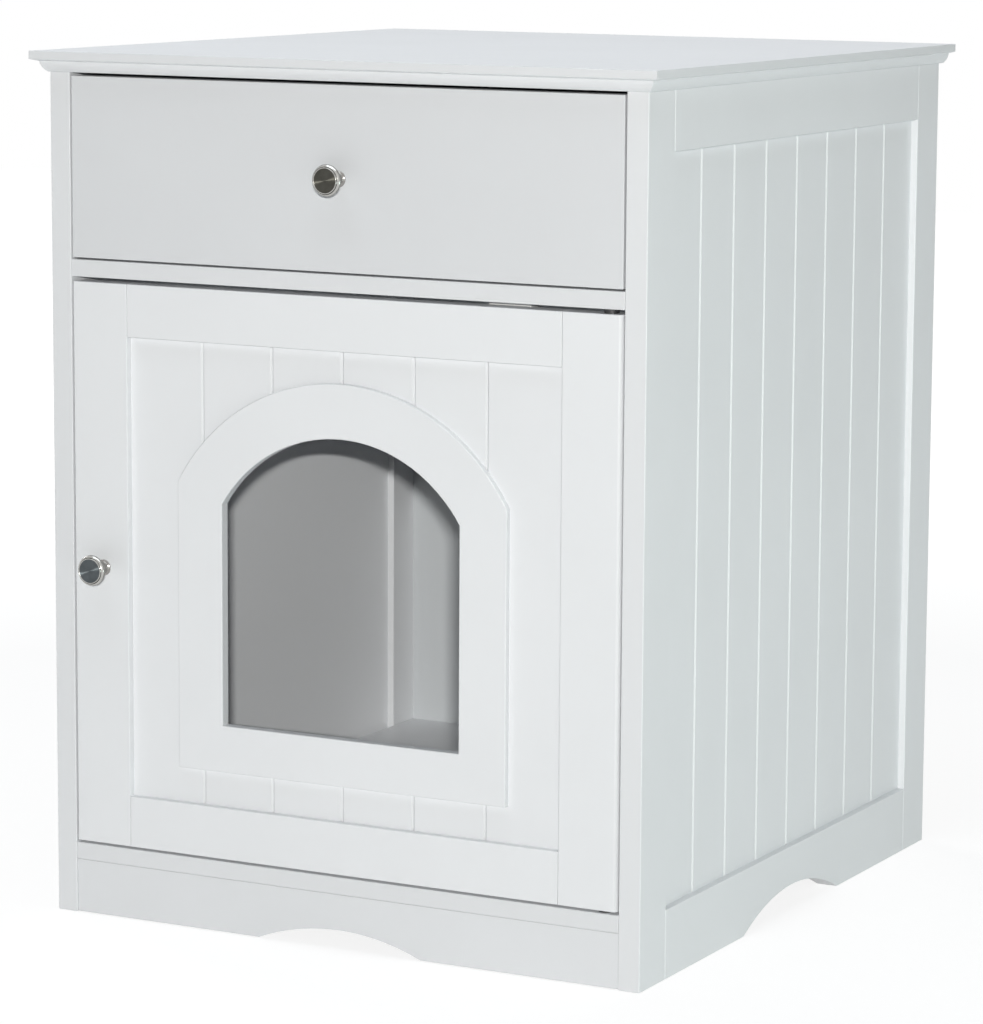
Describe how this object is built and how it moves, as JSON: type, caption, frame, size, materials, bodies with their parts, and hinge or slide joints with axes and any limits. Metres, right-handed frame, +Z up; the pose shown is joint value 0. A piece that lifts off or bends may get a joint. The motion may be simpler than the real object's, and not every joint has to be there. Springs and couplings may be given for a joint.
{
  "type": "cat litter box cabinet",
  "caption": "White bedside-size cabinet that hides a litter tray: a drawer on roller runners over a hinged door with an arched cat doorway and grooved panels.",
  "frame": {"origin": "on the floor, under the centre of the outer box, with the knobs and the top counted", "axes": "+X to the right as seen from the front, +Y from the front to the back (drawer and door face -Y), +Z up"},
  "size_m": [0.502, 0.542, 0.635],
  "materials": {
    "white_paint": "satin white paint on fibreboard, edges sanded and painted",
    "raw_board": "matte white-faced thin fibreboard",
    "beech": "plain unpainted hardwood with fine fluting",
    "zinc": "bright zinc plating",
    "nickel": "turned and brushed nickel with a spun face and bright lips",
    "runner_white": "smooth white powder coat on folded steel",
    "nylon": "plain off-white nylon",
    "dark_nylon": "plain dark nylon",
    "catch_plastic": "smooth white moulded plastic",
    "magnet": "dark ferrite"
  },
  "bodies": {
    "carcass": {"top_panel": "white_paint", "left_front_stile": "white_paint", "right_front_stile": "white_paint", "left_rear_stile": "white_paint", "right_rear_stile": "white_paint", "left_top_rail": "white_paint", "right_top_rail": "white_paint", "left_bottom_rail": "white_paint", "right_bottom_rail": "white_paint", "left_side_panel": "white_paint", "right_side_panel": "white_paint", "divider_board": "white_paint", "floor_board": "white_paint", "toe_board": "white_paint", "rear_bottom_rail": "white_paint", "back_panel": "raw_board", "side_frame_dowels": "beech", "board_dowels": "beech", "cam_bolts": "zinc", "cam_locks": "zinc", "back_panel_screws": "zinc", "pivot_pins": "zinc", "pivot_washers": "dark_nylon", "catch_housing": "catch_plastic", "catch_magnet": "magnet", "catch_screws": "zinc", "left_runner_rail": "runner_white", "right_runner_rail": "runner_white", "rail_rivets": "zinc", "rail_screws": "zinc"},
    "drawer": {"drawer_front": "white_paint", "left_drawer_side": "white_paint", "right_drawer_side": "white_paint", "drawer_back": "white_paint", "drawer_bottom": "raw_board", "drawer_knob": "nickel", "drawer_knob_screw": "zinc", "drawer_cam_bolts": "zinc", "drawer_cam_locks": "zinc", "drawer_back_screws": "zinc", "left_drawer_slide": "runner_white", "right_drawer_slide": "runner_white", "slide_rivets": "zinc", "slide_screws": "zinc"},
    "door": {"door_hinge_stile": "white_paint", "door_knob_stile": "white_paint", "door_top_rail": "white_paint", "door_bottom_rail": "white_paint", "door_panel": "white_paint", "arch_surround": "white_paint", "door_frame_dowels": "beech", "door_knob": "nickel", "door_knob_screw": "zinc", "pivot_bushings": "nylon", "strike_plate": "zinc", "strike_screw": "zinc"},
    "left_rail_wheel": {"left_rail_roller": "nylon"},
    "right_rail_wheel": {"right_rail_roller": "nylon"},
    "left_slide_wheel": {"left_slide_roller": "nylon"},
    "right_slide_wheel": {"right_slide_roller": "nylon"}
  },
  "joints": [
    {"name": "drawer_slide", "type": "slide", "parent": "carcass", "child": "drawer", "axis": [0, -1, 0], "range_m": [0, 0.34]},
    {"name": "door_hinge", "type": "hinge", "parent": "carcass", "child": "door", "pos_m": [0.20975, -0.24375, 0.2621], "axis": [0, 0, 1], "range_deg": [0, 116]},
    {"name": "left_rail_roller_spin", "type": "hinge", "parent": "carcass", "child": "left_rail_wheel", "pos_m": [-0.218, -0.215, 0.5093], "axis": [1, 0, 0], "continuous": true},
    {"name": "right_rail_roller_spin", "type": "hinge", "parent": "carcass", "child": "right_rail_wheel", "pos_m": [0.218, -0.215, 0.5093], "axis": [1, 0, 0], "continuous": true},
    {"name": "left_slide_roller_spin", "type": "hinge", "parent": "drawer", "child": "left_slide_wheel", "pos_m": [-0.2168, 0.208, 0.5091], "axis": [1, 0, 0], "continuous": true},
    {"name": "right_slide_roller_spin", "type": "hinge", "parent": "drawer", "child": "right_slide_wheel", "pos_m": [0.2168, 0.208, 0.5091], "axis": [1, 0, 0], "continuous": true}
  ],
  "couplings": [
    {"joint": "left_rail_roller_spin", "follows": "drawer_slide", "rad_per_m": 125},
    {"joint": "right_rail_roller_spin", "follows": "drawer_slide", "rad_per_m": 125},
    {"joint": "left_slide_roller_spin", "follows": "drawer_slide", "rad_per_m": 125},
    {"joint": "right_slide_roller_spin", "follows": "drawer_slide", "rad_per_m": 125}
  ]
}
